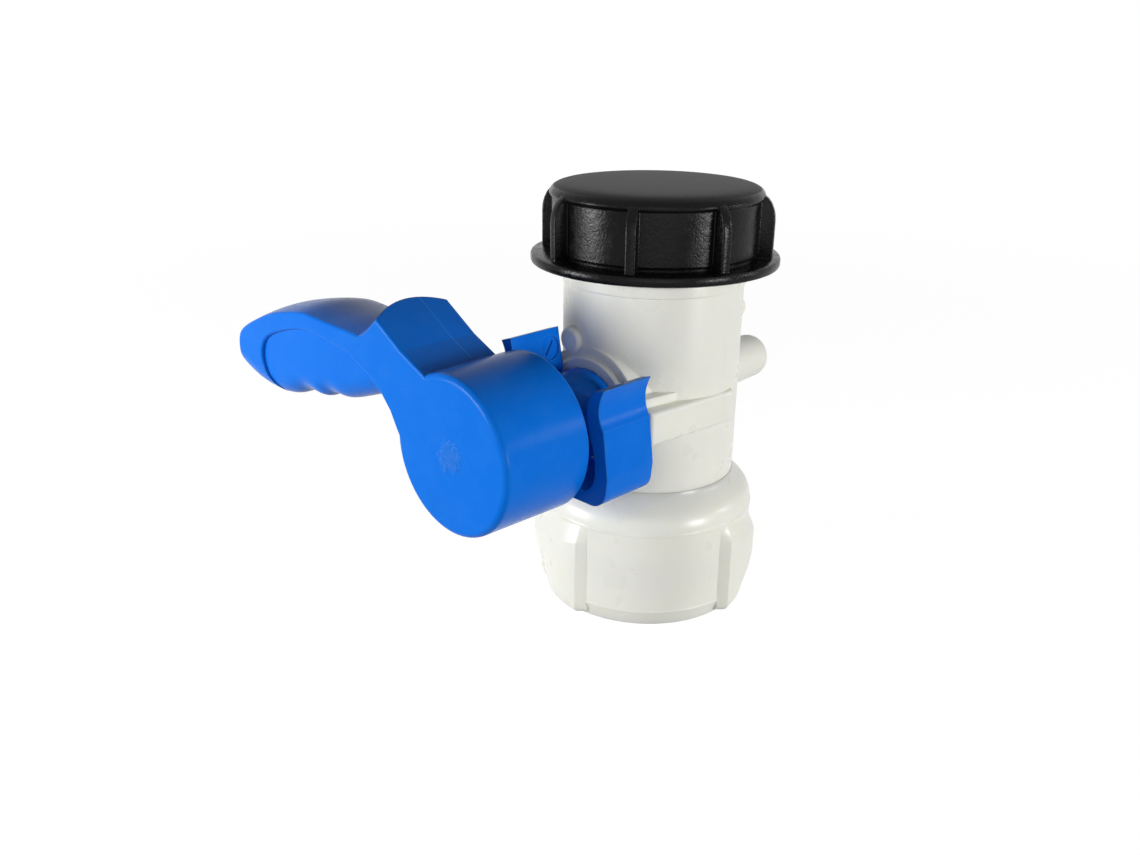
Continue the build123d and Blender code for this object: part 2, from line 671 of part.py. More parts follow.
def seal_space(gap):
    """Room that the seal takes at the rim of the disc, made larger by gap."""
    inner = DISC_R - SEAL_DEPTH - gap
    half = SEAL_HALF_T + gap
    ring = post(BORE_R, STEM_Z - half, STEM_Z + half)
    ring += rod(SEAL_COLLAR_R + gap, -BORE_R, BORE_R)
    return ring - ball(inner)


def disc():
    """Butterfly disc with a hub along the stem and a groove for the seal."""
    plate = post(DISC_R, STEM_Z - DISC_HALF_T, STEM_Z + DISC_HALF_T) + rod(HUB_R, -DISC_R, DISC_R)
    plate &= ball(DISC_R)
    plate -= seal_space(RUN_GAP)
    return plate - square_rod(DISC_SQUARE + SEAT_GAP, -DISC_R, DISC_R)


def disc_seal():
    """Rubber ring with a collar at each end of the stem, turned to a ball that just clears the bore."""
    ring = seal_space(0) & ball(BORE_R - RUN_GAP)
    return ring - square_rod(DISC_SQUARE + 2 * SEAT_GAP, -BORE_R, BORE_R)


def stem_oring(y):
    """Round-section ring in its groove on the stem."""
    place = Plane((0, y, STEM_Z), x_dir=(1, 0, 0), z_dir=(0, 1, 0))
    return place * Torus(STEM_R - ORING_R, ORING_R)


def at_neck(points):
    """Clip points in mm from points in neck radii."""
    return [(x * NECK_R, z * NECK_R) for x, z in points]


def tab_mark():
    """Shallow round recess with a slot in the inner face of the thumb tab."""
    (x0, z0), (x1, z1) = at_neck(CLIP_TAB)
    x, z = x0 + MARK_SHARE * (x1 - x0), z0 + MARK_SHARE * (z1 - z0)
    inward = Plane((x, CLIP_REAR_Y - MARK_SET, STEM_Z + z), x_dir=(0, 1, 0), z_dir=(z0 - z1, 0, x1 - x0))
    slot = Rot(0, 0, MARK_TURN) * Box(*MARK_SLOT, 4 * MARK_DEPTH)
    return inward * (Cylinder(MARK_R, 2 * MARK_DEPTH) + slot)


def lock_clip():
    """U-shaped spring strip round the neck, with a flared right leg and a longer left thumb tab."""
    right_out, left_out = at_neck(CLIP_RIGHT_OUT), at_neck(CLIP_LEFT_OUT)
    right_in, tab = at_neck(CLIP_RIGHT_IN), at_neck(CLIP_TAB)
    outline = [
        Spline(*right_out),
        FilletPolyline(*at_neck(CLIP_FOOT), radius=CLIP_FOOT_ROUND),
        Spline(*left_out),
        Line(left_out[-1], tab[0]),
        Line(*tab),
        Spline(*at_neck(CLIP_LEFT_IN)),
        Spline(*at_neck(CLIP_FLOOR_IN)),
        Spline(*right_in),
        Line(right_in[-1], right_out[0]),
    ]
    strip = extrude(upright(CLIP_FRONT_Y) * make_face(outline), amount=-CLIP_L)
    return strip - tab_mark()


NODES = {
    "valve_body": valve_body(),
    "coupling_nut": coupling_nut(),
    "nut_ring": nut_ring(),
    "inlet_gasket": inlet_gasket(),
    "dust_cap": dust_cap(),
    "cap_gasket": cap_gasket(),
    "handle": handle(),
    "stem": stem(),
    "disc": disc(),
    "disc_seal": disc_seal(),
    "lock_clip": lock_clip(),
}
NODES.update({name: stem_oring(GUIDE_Y + inset) for name, inset in ORING_INSET.items()})

for name, shape in NODES.items():
    export_step(shape, f"parts/{name}.step")
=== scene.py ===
import math

import bmesh
import bpy
from mathutils import Matrix, Vector


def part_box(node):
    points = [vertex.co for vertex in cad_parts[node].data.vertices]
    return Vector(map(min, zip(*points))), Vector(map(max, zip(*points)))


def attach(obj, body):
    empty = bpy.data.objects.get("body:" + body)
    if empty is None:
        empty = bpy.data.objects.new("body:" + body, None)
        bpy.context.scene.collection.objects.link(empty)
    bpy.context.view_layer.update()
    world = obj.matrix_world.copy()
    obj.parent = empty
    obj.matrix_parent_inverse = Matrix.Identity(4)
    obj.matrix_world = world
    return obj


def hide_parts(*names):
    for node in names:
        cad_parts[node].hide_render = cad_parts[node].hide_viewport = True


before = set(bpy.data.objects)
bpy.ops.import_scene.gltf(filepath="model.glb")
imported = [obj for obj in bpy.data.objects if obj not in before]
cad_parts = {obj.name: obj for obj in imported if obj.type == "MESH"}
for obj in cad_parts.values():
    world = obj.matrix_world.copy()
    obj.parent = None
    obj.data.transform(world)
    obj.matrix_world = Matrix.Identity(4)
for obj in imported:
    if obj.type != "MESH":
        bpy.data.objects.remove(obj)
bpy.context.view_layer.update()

bl_info = {
    "name": "Container valve dressing",
    "version": (1, 0, 0),
    "blender": (4, 5, 0),
    "location": "View3D > Sidebar > Valve",
    "description": "Plastics, cap, threads and studio for a container's butterfly valve",
    "category": "Object",
}

MM = 0.001
IMAGE_WIDTH = 1140

# Places that follow the solids
STEM_HEIGHT = (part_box("stem")[0].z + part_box("stem")[1].z) / 2
DRUM_FACE_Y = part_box("handle")[0].y
BODY_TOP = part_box("valve_body")[1].z
CAP_LOW, CAP_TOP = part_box("dust_cap")[0].z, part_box("dust_cap")[1].z
NUT_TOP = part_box("coupling_nut")[1].z

# Make of the cap's shell
CAP_RIBS = 8
CAP_STEPS = 128
RIB_ROUND_STEPS = 3
SHARP_ANGLE = math.radians(28)
WELD = 0.001 * MM

# Half section of the cap and side of one of its ribs: radius and height above the brim, in millimetres
CAP_SECTION = (
    (0, 19.2), (30.6, 19.2), (30.6, 0),
    (39.2, 0), (39.75, 0.25), (40, 0.8), (40, 2.3), (39.75, 2.85), (39.2, 3.1),
    (32.6, 3.1), (32.6, 3.8), (33.2, 4.5), (33.2, 20.4), (33.5, 20.8), (33.9, 21.1),
    (34.1, 21.6), (34.0, 22.3), (33.6, 23.0), (32.9, 23.65), (31.9, 24.2), (30.6, 24.6),
    (29, 24.85), (25, 25.08), (17, 25.24), (8, 25.36), (0, 25.4),
)
RIB_SIDE = (
    (31.8, 1.5), (37.6, 1.5), (37.6, 14.5), (37.45, 16.5), (36.95, 18.4), (36.1, 20.2),
    (35.0, 21.6), (33.6, 22.6), (31.8, 22.9),
)

# Threads: where each starts, how many turns it has, and how a ridge is made
OUTLET_START, OUTLET_TURNS = BODY_TOP - 17 * MM, 2.6
NUT_START, NUT_TURNS = 2.2 * MM, 1.5
CAP_START, CAP_TURNS = BODY_TOP - 14 * MM, 2.0
HELIX_STEPS = 72
RUN_OUT_TURNS = 0.12
RUN_OUT_SHARE = 0.05
RIDGE_SINK = 0.42

# Mould marks: the tube's seam as a slope of y on x, the stretch of the arm's top that the parting line crosses,
# and how far behind the drum's face the gate patch ends
SEAM_SLOPE = math.tan(math.radians(2))
ARM_MIDDLE = 25 * MM
ARM_HALF = 13 * MM
ARM_RISE = 20 * MM
PATCH_DEPTH = 1 * MM

# Shared by the finishes and the studio
PLASTIC_IOR = 1.5
BEVEL_SAMPLES = 6
CLIP_START = 10 * MM
FLOOR_FADE = (0.3, 1.2)

# Sockets of a colour mix
MIX_SHARE, MIX_FIRST, MIX_SECOND, MIX_RESULT = 0, 6, 7, 2


def length(name, description, default):
    """Length setting in metres."""
    return bpy.props.FloatProperty(
        name=name, description=description, default=default, unit="LENGTH", precision=5
    )


def colour(name, description, default):
    """Colour setting."""
    return bpy.props.FloatVectorProperty(name=name, description=description, subtype="COLOR", default=default)


def place(name, description, default):
    """Point or direction setting."""
    return bpy.props.FloatVectorProperty(name=name, description=description, subtype="XYZ", default=default)


def number(name, description, default):
    """Plain number setting."""
    return bpy.props.FloatProperty(name=name, description=description, default=default)


class ValveColours(bpy.types.PropertyGroup):
    """Pigments of the mouldings."""

    handle_blue: colour("Handle blue", "Pigment of the handle and the clip", (0.002, 0.178, 0.80))
    # Paler blue of the frosted grain, the gate patch and the parting line; along the edges it is a painted
    # highlight.
    frost_and_highlight_blue: colour("Frosted blue", "Blue where the grain scatters more light", (0.08, 0.36, 0.88))
    body_white: colour("Body white", "Unpigmented plastic of the body and the nut", (0.95, 0.94, 0.83))
    cap_black: colour("Cap black", "Carbon black of the dust cap", (0.004, 0.004, 0.004))
    rubber_black: colour("Rubber black", "Rubber of the gaskets and rings", (0.012, 0.012, 0.012))


class ValveSizes(bpy.types.PropertyGroup):
    """Threads, mould marks, soft edges and ribs."""

    pitch: length("Pitch", "Rise of the coarse thread in one turn", 6 * MM)
    ridge: length("Ridge", "Height of the outlet's thread ridge", 1.5 * MM)
    nut_ridge: length("Nut ridge", "Height of the ridge in the nut", 1.3 * MM)
    cap_ridge: length("Cap ridge", "Height of the ridge in the cap", 1.0 * MM)
    ridge_root: length("Ridge root", "Width of a ridge at its root", 2.6 * MM)
    ridge_crest: length("Ridge crest", "Width of a ridge at its crest", 1.0 * MM)
    outlet_radius: length("Outlet radius", "Root of the outlet's thread", 28.4 * MM)
    nut_radius: length("Nut radius", "Bore of the nut", 30.3 * MM)
    cap_radius: length("Cap radius", "Bore of the cap", 30.6 * MM)
    parting_y: length("Parting line", "Where the two halves of the handle's mould met", -67.5 * MM)
    gate_radius: length("Gate patch", "Radius of the rough spot in the drum's face", 5.5 * MM)
    edge: length("Soft edge", "Shaded rounding of the white and black plastics' edges", 0.45 * MM)
    # The same radius sets how wide the painted highlight along the blue edges is.
    blue_edge: length("Soft blue edge", "Shaded rounding of the handle's and the clip's edges", 0.75 * MM)
    rib_width: length("Rib width", "Thickness of a rib of the cap", 3.2 * MM)
    rib_round: length("Rib rounding", "Rounding of a rib's edges", 0.6 * MM)
    rib_turn: bpy.props.FloatProperty(
        name="Rib turn", description="Where the first rib stands", default=math.radians(-61), subtype="ANGLE"
    )


class StudioSizes(bpy.types.PropertyGroup):
    """Camera, lamps and floor."""

    camera_place: place("Camera place", "Where the camera stands", (0.21478, -0.25676, 0.18499))
    camera_right: place("Camera right", "Direction of the picture's width", (0.7107, 0.7034, 0.0104))
    camera_up: place("Camera up", "Direction of the picture's height", (-0.2591, 0.2480, 0.9335))
    lens_pixels: number("Lens", "Focal length in pixels of the photograph's width", 1040.5)
    target: place("Lamp target", "Point that the lamps look at", (0.0, -0.03, 0.1))
    lamp_distance: length("Lamp distance", "From the target to a softbox", 0.75)
    left_direction: place("Left direction", "Where the left softbox stands", (-0.53, -0.848, 0.0))
    left_side: length("Left side", "Edge of the square left softbox", 0.24)
    left_power: number("Left power", "Watts of the left softbox", 5.5)
    right_direction: place("Right direction", "Where the right softbox stands", (0.985, 0.14, 0.0))
    right_side: length("Right side", "Edge of the square right softbox", 0.17)
    right_power: number("Right power", "Watts of the right softbox", 2.9)
    fill_direction: place("Fill direction", "Where the wide front lamp stands", (0.7, -0.72, 0.0))
    fill_side: length("Fill side", "Edge of the square front lamp", 0.6)
    fill_power: number("Fill power", "Watts of the front lamp", 1.7)
    rim_direction: place("Rim direction", "Where the small rear right lamp stands", (0.733, 0.666, 0.146))
    rim_side: length("Rim side", "Edge of the square rim lamp", 0.06)
    rim_power: number("Rim power", "Watts of the rim lamp", 0.6)
    ambient: number("Ambient", "Light from all round", 0.055)
    floor_grey: number("Floor grey", "How much of the light the floor throws back", 0.2)
    floor_glow: number("Floor glow", "What the camera sees of the floor before light falls on it", 0.95)
    floor_side: length("Floor side", "Edge of the square floor", 8.0)


class Nodes:
    """Adds and links the nodes of one tree."""

    def __init__(self, tree):
        self.tree = tree

    def add(self, kind, settings=None, **inputs):
        """New node with its settings and its inputs, which are values or sockets."""
        node = self.tree.nodes.new(kind)
        for key, value in (settings or {}).items():
            setattr(node, key, value)
        for key, value in inputs.items():
            self.feed(node.inputs[int(key[1:]) if key[0] == "_" else key.replace("_", " ")], value)
        return node

    def feed(self, socket, value):
        """Links a socket to an output or sets its value."""
        if isinstance(value, bpy.types.NodeSocket):
            self.tree.links.new(value, socket)
        else:
            socket.default_value = value

    def math(self, operation, *values):
        """Output of a math node."""
        node = self.add("ShaderNodeMath", {"operation": operation})
        for socket, value in zip(node.inputs, values):
            self.feed(socket, value)
        return node.outputs["Value"]

    def product(self, first, *others):
        """Output of a chain of multiplications."""
        for other in others:
            first = self.math("MULTIPLY", first, other)
        return first

    def spread(self, value, low, high, out_low, out_high):
        """Maps a value from one range to another, smoothly at both ends."""
        node = self.add("ShaderNodeMapRange", {"interpolation_type": "SMOOTHSTEP"}, Value=value)
        for key, limit in (("From Min", low), ("From Max", high), ("To Min", out_low), ("To Max", out_high)):
            self.feed(node.inputs[key], limit)
        return node.outputs["Result"]

    def noise(self, vector, per_metre, detail=3.0, roughness=0.5):
        """Output of a noise of a given fineness."""
        fineness = {"Scale": per_metre, "Detail": detail, "Roughness": roughness}
        node = self.add("ShaderNodeTexNoise", Vector=vector, **fineness)
        return node.outputs["Fac"]

    def blend(self, share, first, second):
        """Colour between two colours."""
        node = self.add("ShaderNodeMix", {"data_type": "RGBA"})
        self.feed(node.inputs[MIX_SHARE], share)
        self.feed(node.inputs[MIX_FIRST], first)
        self.feed(node.inputs[MIX_SECOND], second)
        return node.outputs[MIX_RESULT]

    def bump(self, height, distance, strength, normal):
        """Normal pushed by a height."""
        node = self.add("ShaderNodeBump", Height=height, Distance=distance, Strength=strength, Normal=normal)
        return node.outputs["Normal"]


def new_finish(name, **constants):
    """Material with its nodes, its shader and its object coordinates."""
    material = bpy.data.materials.new(name)
    material.use_nodes = True
    nodes = Nodes(material.node_tree)
    shader = material.node_tree.nodes["Principled BSDF"]
    for key, value in constants.items():
        shader.inputs[key.replace("_", " ")].default_value = value
    where = nodes.add("ShaderNodeTexCoord").outputs["Object"]
    return material, nodes, shader, where


def soft_edges(nodes, radius):
    """Normal that rounds a moulding's edges."""
    return nodes.add("ShaderNodeBevel", {"samples": BEVEL_SAMPLES}, Radius=radius).outputs["Normal"]


def painted_edge_highlight(nodes, rounded):
    """1 on a moulding's edges, where the rounded normal leaves the true one, 0 on its faces: the mask of a
    painted highlight along the edges.
    """
    true = nodes.add("ShaderNodeNewGeometry").outputs["Normal"]
    along = nodes.add("ShaderNodeVectorMath", {"operation": "DOT_PRODUCT"}, _0=rounded, _1=true)
    along = along.outputs["Value"]
    return nodes.spread(along, low=0.84, high=0.99, out_low=1, out_high=0)


def shade(rgb, share):
    """Darker or lighter version of a colour, as a node colour."""
    return (*(channel * share for channel in rgb), 1)


def paint(material, *names):
    """Gives CAD nodes their finish."""
    for name in names:
        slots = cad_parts[name].data.materials
        slots.clear()
        slots.append(material)


def finish_of(name):
    """Material that a CAD node wears."""
    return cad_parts[name].data.materials[0]


def natural_plastic(colours, sizes):
    """Unpigmented polyethylene: milky, faintly cloudy and softly glossy, with a seam up the tube."""
    material, nodes, shader, where = new_finish(
        "natural_plastic",
        Subsurface_Weight=0.5,
        Subsurface_Radius=(1.0, 0.95, 0.75),
        Subsurface_Scale=6 * MM,
        IOR=PLASTIC_IOR,
        Specular_IOR_Level=0.45,
    )
    cloud = nodes.noise(where, per_metre=70, detail=4)
    dull, bright = shade(colours.body_white, 0.97), shade(colours.body_white, 1.02)
    nodes.feed(shader.inputs["Base Color"], nodes.blend(cloud, dull, bright))
    gloss = nodes.spread(nodes.noise(where, per_metre=90), low=0.3, high=0.7, out_low=0.27, out_high=0.32)
    nodes.feed(shader.inputs["Roughness"], gloss)
    x, y, z = nodes.add("ShaderNodeSeparateXYZ", Vector=where).outputs
    off_seam = nodes.math("ABSOLUTE", nodes.math("SUBTRACT", y, nodes.math("MULTIPLY", x, SEAM_SLOPE)))
    seam = nodes.spread(off_seam, low=0.1 * MM, high=0.35 * MM, out_low=1, out_high=0)
    seam = nodes.product(seam, nodes.math("GREATER_THAN", x, 0), nodes.math("GREATER_THAN", z, NUT_TOP))
    normal = nodes.bump(seam, distance=0.2 * MM, strength=0.5, normal=soft_edges(nodes, sizes.edge))
    nodes.feed(shader.inputs["Normal"], normal)
    return material


def gate_patch(nodes, where, sizes):
    """1 in the middle of the drum's face, where the plastic was torn off at the gate, 0 outside."""
    x, y, z = nodes.add("ShaderNodeSeparateXYZ", Vector=where).outputs
    rise = nodes.math("SUBTRACT", z, STEM_HEIGHT)
    reach = nodes.math("SQRT", nodes.math("ADD", nodes.product(x, x), nodes.product(rise, rise)))
    uneven = nodes.noise(where, per_metre=420, detail=3)
    uneven = nodes.spread(uneven, low=0.3, high=0.7, out_low=0, out_high=0.5 * sizes.gate_radius)
    ragged = nodes.math("ADD", reach, uneven)
    inner, outer = 0.7 * sizes.gate_radius, 1.3 * sizes.gate_radius
    inside = nodes.spread(ragged, low=inner, high=outer, out_low=1, out_high=0)
    return nodes.product(inside, nodes.math("LESS_THAN", y, DRUM_FACE_Y + PATCH_DEPTH))


def parting_line(nodes, where, sizes):
    """1 on the thin line over the arm where the mould's halves met, 0 beside it."""
    x, y, z = nodes.add("ShaderNodeSeparateXYZ", Vector=where).outputs
    off_line = nodes.math("ABSOLUTE", nodes.math("SUBTRACT", y, sizes.parting_y))
    line = nodes.spread(off_line, low=0.1 * MM, high=0.25 * MM, out_low=1, out_high=0)
    on_arm = nodes.math("LESS_THAN", nodes.math("ABSOLUTE", nodes.math("ADD", x, ARM_MIDDLE)), ARM_HALF)
    return nodes.product(line, on_arm, nodes.math("GREATER_THAN", z, STEM_HEIGHT + ARM_RISE))


def blue_plastic(colours, sizes):
    """Blue polypropylene: frosted grain, a painted highlight along the edges, a parting line over the arm and a
    rough gate patch.
    """
    material, nodes, shader, where = new_finish("blue_plastic", IOR=PLASTIC_IOR, Specular_IOR_Level=0.05)
    grain = nodes.noise(where, per_metre=2600, detail=3, roughness=0.65)
    cloud = nodes.noise(where, per_metre=55, detail=4)
    bloom = nodes.noise(where, per_metre=140, detail=4, roughness=0.6)
    bloom = nodes.spread(bloom, low=0.4, high=0.75, out_low=0, out_high=0.1)
    frost_and_highlight = nodes.product(bloom, nodes.spread(grain, low=0.35, high=0.65, out_low=0.1, out_high=1))
    rounded = soft_edges(nodes, sizes.blue_edge)
    patch = gate_patch(nodes, where, sizes)
    line = parting_line(nodes, where, sizes)
    # Paler blue along the edges is a painted highlight; the gate patch and the parting line are marks of the
    # moulding.
    for mark, share in ((patch, 0.1), (line, 0.45), (painted_edge_highlight(nodes, rounded), 0.45)):
        frost_and_highlight = nodes.math("MAXIMUM", frost_and_highlight, nodes.math("MULTIPLY", mark, share))
    pigment = nodes.blend(cloud, shade(colours.handle_blue, 0.94), shade(colours.handle_blue, 1.05))
    nodes.feed(shader.inputs["Base Color"], nodes.blend(frost_and_highlight, pigment, shade(colours.frost_and_highlight_blue, 1)))
    gloss = nodes.spread(grain, low=0.3, high=0.7, out_low=0.17, out_high=0.27)
    nodes.feed(shader.inputs["Roughness"], gloss)
    torn = nodes.product(patch, nodes.noise(where, per_metre=1000, detail=4, roughness=0.7))
    normal = nodes.bump(torn, distance=0.6 * MM, strength=0.9, normal=rounded)
    normal = nodes.bump(grain, distance=0.07 * MM, strength=0.5, normal=normal)
    nodes.feed(shader.inputs["Normal"], normal)
    return material


def black_plastic(colours, sizes):
    """Carbon black polypropylene: blotchy half gloss on the wall, dull on the top."""
    material, nodes, shader, where = new_finish("black_plastic", IOR=PLASTIC_IOR, Specular_IOR_Level=0.11)
    z = nodes.add("ShaderNodeSeparateXYZ", Vector=where).outputs["Z"]
    blotch = nodes.noise(where, per_metre=330, detail=3, roughness=0.55)
    speck = nodes.noise(where, per_metre=1500, detail=3, roughness=0.6)
    top = nodes.spread(z, low=CAP_TOP - 2.2 * MM, high=CAP_TOP - 1.4 * MM, out_low=0, out_high=1)
    cloud = nodes.noise(where, per_metre=90, detail=3)
    dark, light = shade(colours.cap_black, 0.7), shade(colours.cap_black, 1.5)
    nodes.feed(shader.inputs["Base Color"], nodes.blend(cloud, dark, light))
    mottle = nodes.math("MULTIPLY", nodes.math("ADD", blotch, speck), 0.5)
    gloss = nodes.spread(mottle, low=0.4, high=0.6, out_low=0.12, out_high=0.3)
    nodes.feed(shader.inputs["Roughness"], nodes.math("MAXIMUM", gloss, nodes.math("MULTIPLY", top, 0.5)))
    normal = nodes.bump(blotch, distance=0.3 * MM, strength=0.25, normal=soft_edges(nodes, sizes.edge))
    normal = nodes.bump(speck, distance=0.16 * MM, strength=0.5, normal=normal)
    nodes.feed(shader.inputs["Normal"], normal)
    return material


def black_rubber(colours):
    """Matt rubber with a fine bloom."""
    material, nodes, shader, where = new_finish("black_rubber", Specular_IOR_Level=0.25)
    bloom = nodes.noise(where, per_metre=400, detail=4)
    dark, light = shade(colours.rubber_black, 0.7), shade(colours.rubber_black, 1.6)
    nodes.feed(shader.inputs["Base Color"], nodes.blend(bloom, dark, light))
    nodes.feed(shader.inputs["Roughness"], nodes.spread(bloom, low=0.3, high=0.7, out_low=0.62, out_high=0.8))
    fine = nodes.noise(where, per_metre=1800, detail=2)
    still = nodes.add("ShaderNodeNewGeometry").outputs["Normal"]
    nodes.feed(shader.inputs["Normal"], nodes.bump(fine, distance=0.06 * MM, strength=0.4, normal=still))
    return material


class VALVE_OT_plastics(bpy.types.Operator):
    """Gives every moulding its plastic and every seal its rubber"""

    bl_idname = "valve.plastics"
    bl_label = "Plastics and rubber"

    def execute(self, context):
        colours, sizes = context.scene.valve_colours, context.scene.valve_sizes
        paint(natural_plastic(colours, sizes), "valve_body", "coupling_nut", "nut_ring", "disc", "stem")
        paint(blue_plastic(colours, sizes), "handle", "lock_clip")
        paint(black_plastic(colours, sizes), "dust_cap")
        seals = ("inlet_gasket", "cap_gasket", "disc_seal", "stem_oring_outer", "stem_oring_inner")
        paint(black_rubber(colours), *seals)
        return {"FINISHED"}


THREAD_INPUTS = ("Radius", "Start", "Pitch", "Turns", "Height", "Root", "Crest", "Outward")


def thread_tree():
    """Helical ridge on a cylinder, thinned out at both ends; Outward is 1 or, in a bore, -1."""
    tree = bpy.data.node_groups.new("thread_ridge", "GeometryNodeTree")
    tree.interface.new_socket("Geometry", in_out="OUTPUT", socket_type="NodeSocketGeometry")
    for name in THREAD_INPUTS:
        tree.interface.new_socket(name, in_out="INPUT", socket_type="NodeSocketFloat")
    tree.interface.new_socket("Finish", in_out="INPUT", socket_type="NodeSocketMaterial")
    nodes = Nodes(tree)
    given = nodes.add("NodeGroupInput").outputs
    rise = nodes.math("MULTIPLY", given["Pitch"], given["Turns"])
    helix = nodes.add(
        "GeometryNodeCurveSpiral",
        Resolution=HELIX_STEPS,
        Rotations=given["Turns"],
        Start_Radius=given["Radius"],
        End_Radius=given["Radius"],
        Height=rise,
        Reverse=True,
    )
    start = nodes.add("ShaderNodeCombineXYZ", Z=given["Start"]).outputs["Vector"]
    helix = nodes.add("GeometryNodeTransform", Geometry=helix.outputs["Curve"], Translation=start)
    helix = nodes.add("GeometryNodeSetCurveNormal", {"mode": "Z_UP"}, Curve=helix.outputs["Geometry"])
    along = nodes.add("GeometryNodeSplineParameter").outputs["Factor"]
    end = nodes.math("MINIMUM", along, nodes.math("SUBTRACT", 1.0, along))
    end = nodes.math("MULTIPLY", end, given["Turns"])
    swell = nodes.spread(end, low=0.0, high=RUN_OUT_TURNS, out_low=RUN_OUT_SHARE, out_high=1.0)
    section = nodes.add("GeometryNodeCurvePrimitiveQuadrilateral", {"mode": "TRAPEZOID"})
    nodes.feed(section.inputs["Bottom Width"], given["Root"])
    nodes.feed(section.inputs["Top Width"], given["Crest"])
    nodes.feed(section.inputs["Height"], given["Height"])
    nodes.feed(section.inputs["Offset"], 0.0)
    turn = nodes.add("ShaderNodeCombineXYZ", Z=nodes.math("MULTIPLY", given["Outward"], -math.pi / 2))
    half = nodes.math("MULTIPLY", nodes.math("MULTIPLY", given["Height"], RIDGE_SINK), given["Outward"])
    shift = nodes.add("ShaderNodeCombineXYZ", X=half)
    section = nodes.add(
        "GeometryNodeTransform",
        Geometry=section.outputs["Curve"],
        Translation=shift.outputs["Vector"],
        Rotation=turn.outputs["Vector"],
    )
    ridge = nodes.add("GeometryNodeCurveToMesh", Curve=helix.outputs["Curve"])
    nodes.feed(ridge.inputs["Profile Curve"], section.outputs["Geometry"])
    nodes.feed(ridge.inputs["Fill Caps"], True)
    nodes.feed(ridge.inputs["Scale"], swell)
    solid = nodes.add("GeometryNodeRealizeInstances", Geometry=ridge.outputs["Mesh"])
    solid = nodes.add("GeometryNodeSetMaterial", Geometry=solid.outputs["Geometry"], Material=given["Finish"])
    nodes.add("NodeGroupOutput", Geometry=solid.outputs["Geometry"])
    return tree


def grown_mesh(name, tree, values):
    """Object with the plain mesh that a node tree gives for its input values."""
    obj = bpy.data.objects.new(name, bpy.data.meshes.new(name))
    bpy.context.scene.collection.objects.link(obj)
    modifier = obj.modifiers.new("grow", "NODES")
    modifier.node_group = tree
    for item in tree.interface.items_tree:
        if item.in_out == "INPUT":
            modifier[item.identifier] = values[item.name]
    graph = bpy.context.evaluated_depsgraph_get()
    mesh = bpy.data.meshes.new_from_object(obj.evaluated_get(graph))
    obj.modifiers.remove(modifier)
    obj.data = mesh
    return obj


def rib_ring_tree():
    """Ring of ribs round the upright axis, each a turned copy of one rib."""
    tree = bpy.data.node_groups.new("rib_ring", "GeometryNodeTree")
    tree.interface.new_socket("Geometry", in_out="OUTPUT", socket_type="NodeSocketGeometry")
    for name, kind in (("Rib", "Object"), ("Count", "Int"), ("Turn", "Float"), ("Finish", "Material")):
        tree.interface.new_socket(name, in_out="INPUT", socket_type="NodeSocket" + kind)
    nodes = Nodes(tree)
    given = nodes.add("NodeGroupInput").outputs
    rib = nodes.add("GeometryNodeObjectInfo", Object=given["Rib"]).outputs["Geometry"]
    points = nodes.add("GeometryNodePoints", Count=given["Count"]).outputs["Points"]
    index = nodes.add("GeometryNodeInputIndex").outputs["Index"]
    step = nodes.math("DIVIDE", 2 * math.pi, given["Count"])
    angle = nodes.math("ADD", nodes.math("MULTIPLY", index, step), given["Turn"])
    turn = nodes.add("ShaderNodeCombineXYZ", Z=angle).outputs["Vector"]
    ring = nodes.add("GeometryNodeInstanceOnPoints", Points=points, Instance=rib, Rotation=turn)
    solid = nodes.add("GeometryNodeRealizeInstances", Geometry=ring.outputs["Instances"])
    solid = nodes.add("GeometryNodeSetMaterial", Geometry=solid.outputs["Geometry"], Material=given["Finish"])
    nodes.add("NodeGroupOutput", Geometry=solid.outputs["Geometry"])
    return tree


def turned_shell(section, steps):
    """Mesh of a half section turned round the upright axis, closed at the axis."""
    shell = bmesh.new()
    corners = [shell.verts.new((radius * MM, 0, CAP_LOW + height * MM)) for radius, height in section]
    edges = [shell.edges.new(pair) for pair in zip(corners, corners[1:])]
    turn = {"cent": (0, 0, 0), "axis": (0, 0, 1), "angle": 2 * math.pi, "steps": steps}
    bmesh.ops.spin(shell, geom=corners + edges, **turn)
    bmesh.ops.remove_doubles(shell, verts=shell.verts, dist=WELD)
    bmesh.ops.recalc_face_normals(shell, faces=shell.faces)
    return shell


def rib_mesh(width, rounding):
    """Mesh of one rib of the cap on the X axis, its outer edges rounded."""
    rib = bmesh.new()
    corners = [(radius * MM, -width / 2, CAP_LOW + height * MM) for radius, height in RIB_SIDE]
    side = rib.faces.new([rib.verts.new(corner) for corner in corners])
    grown = bmesh.ops.extrude_face_region(rib, geom=[side], use_keep_orig=True)
    moved = [item for item in grown["geom"] if isinstance(item, bmesh.types.BMVert)]
    bmesh.ops.translate(rib, verts=moved, vec=(0, width, 0))
    bmesh.ops.recalc_face_normals(rib, faces=rib.faces)
    root = RIB_SIDE[0][0] * MM
    outer = [edge for edge in rib.edges if abs(edge.verts[0].co.y - edge.verts[1].co.y) < width / 2]
    outer = [edge for edge in outer if max(vert.co.x for vert in edge.verts) > root + rounding]
    bmesh.ops.bevel(rib, geom=outer, offset=rounding, segments=RIB_ROUND_STEPS, profile=0.5, affect="EDGES")
    mesh = bpy.data.meshes.new("rib")
    rib.to_mesh(mesh)
    rib.free()
    return mesh


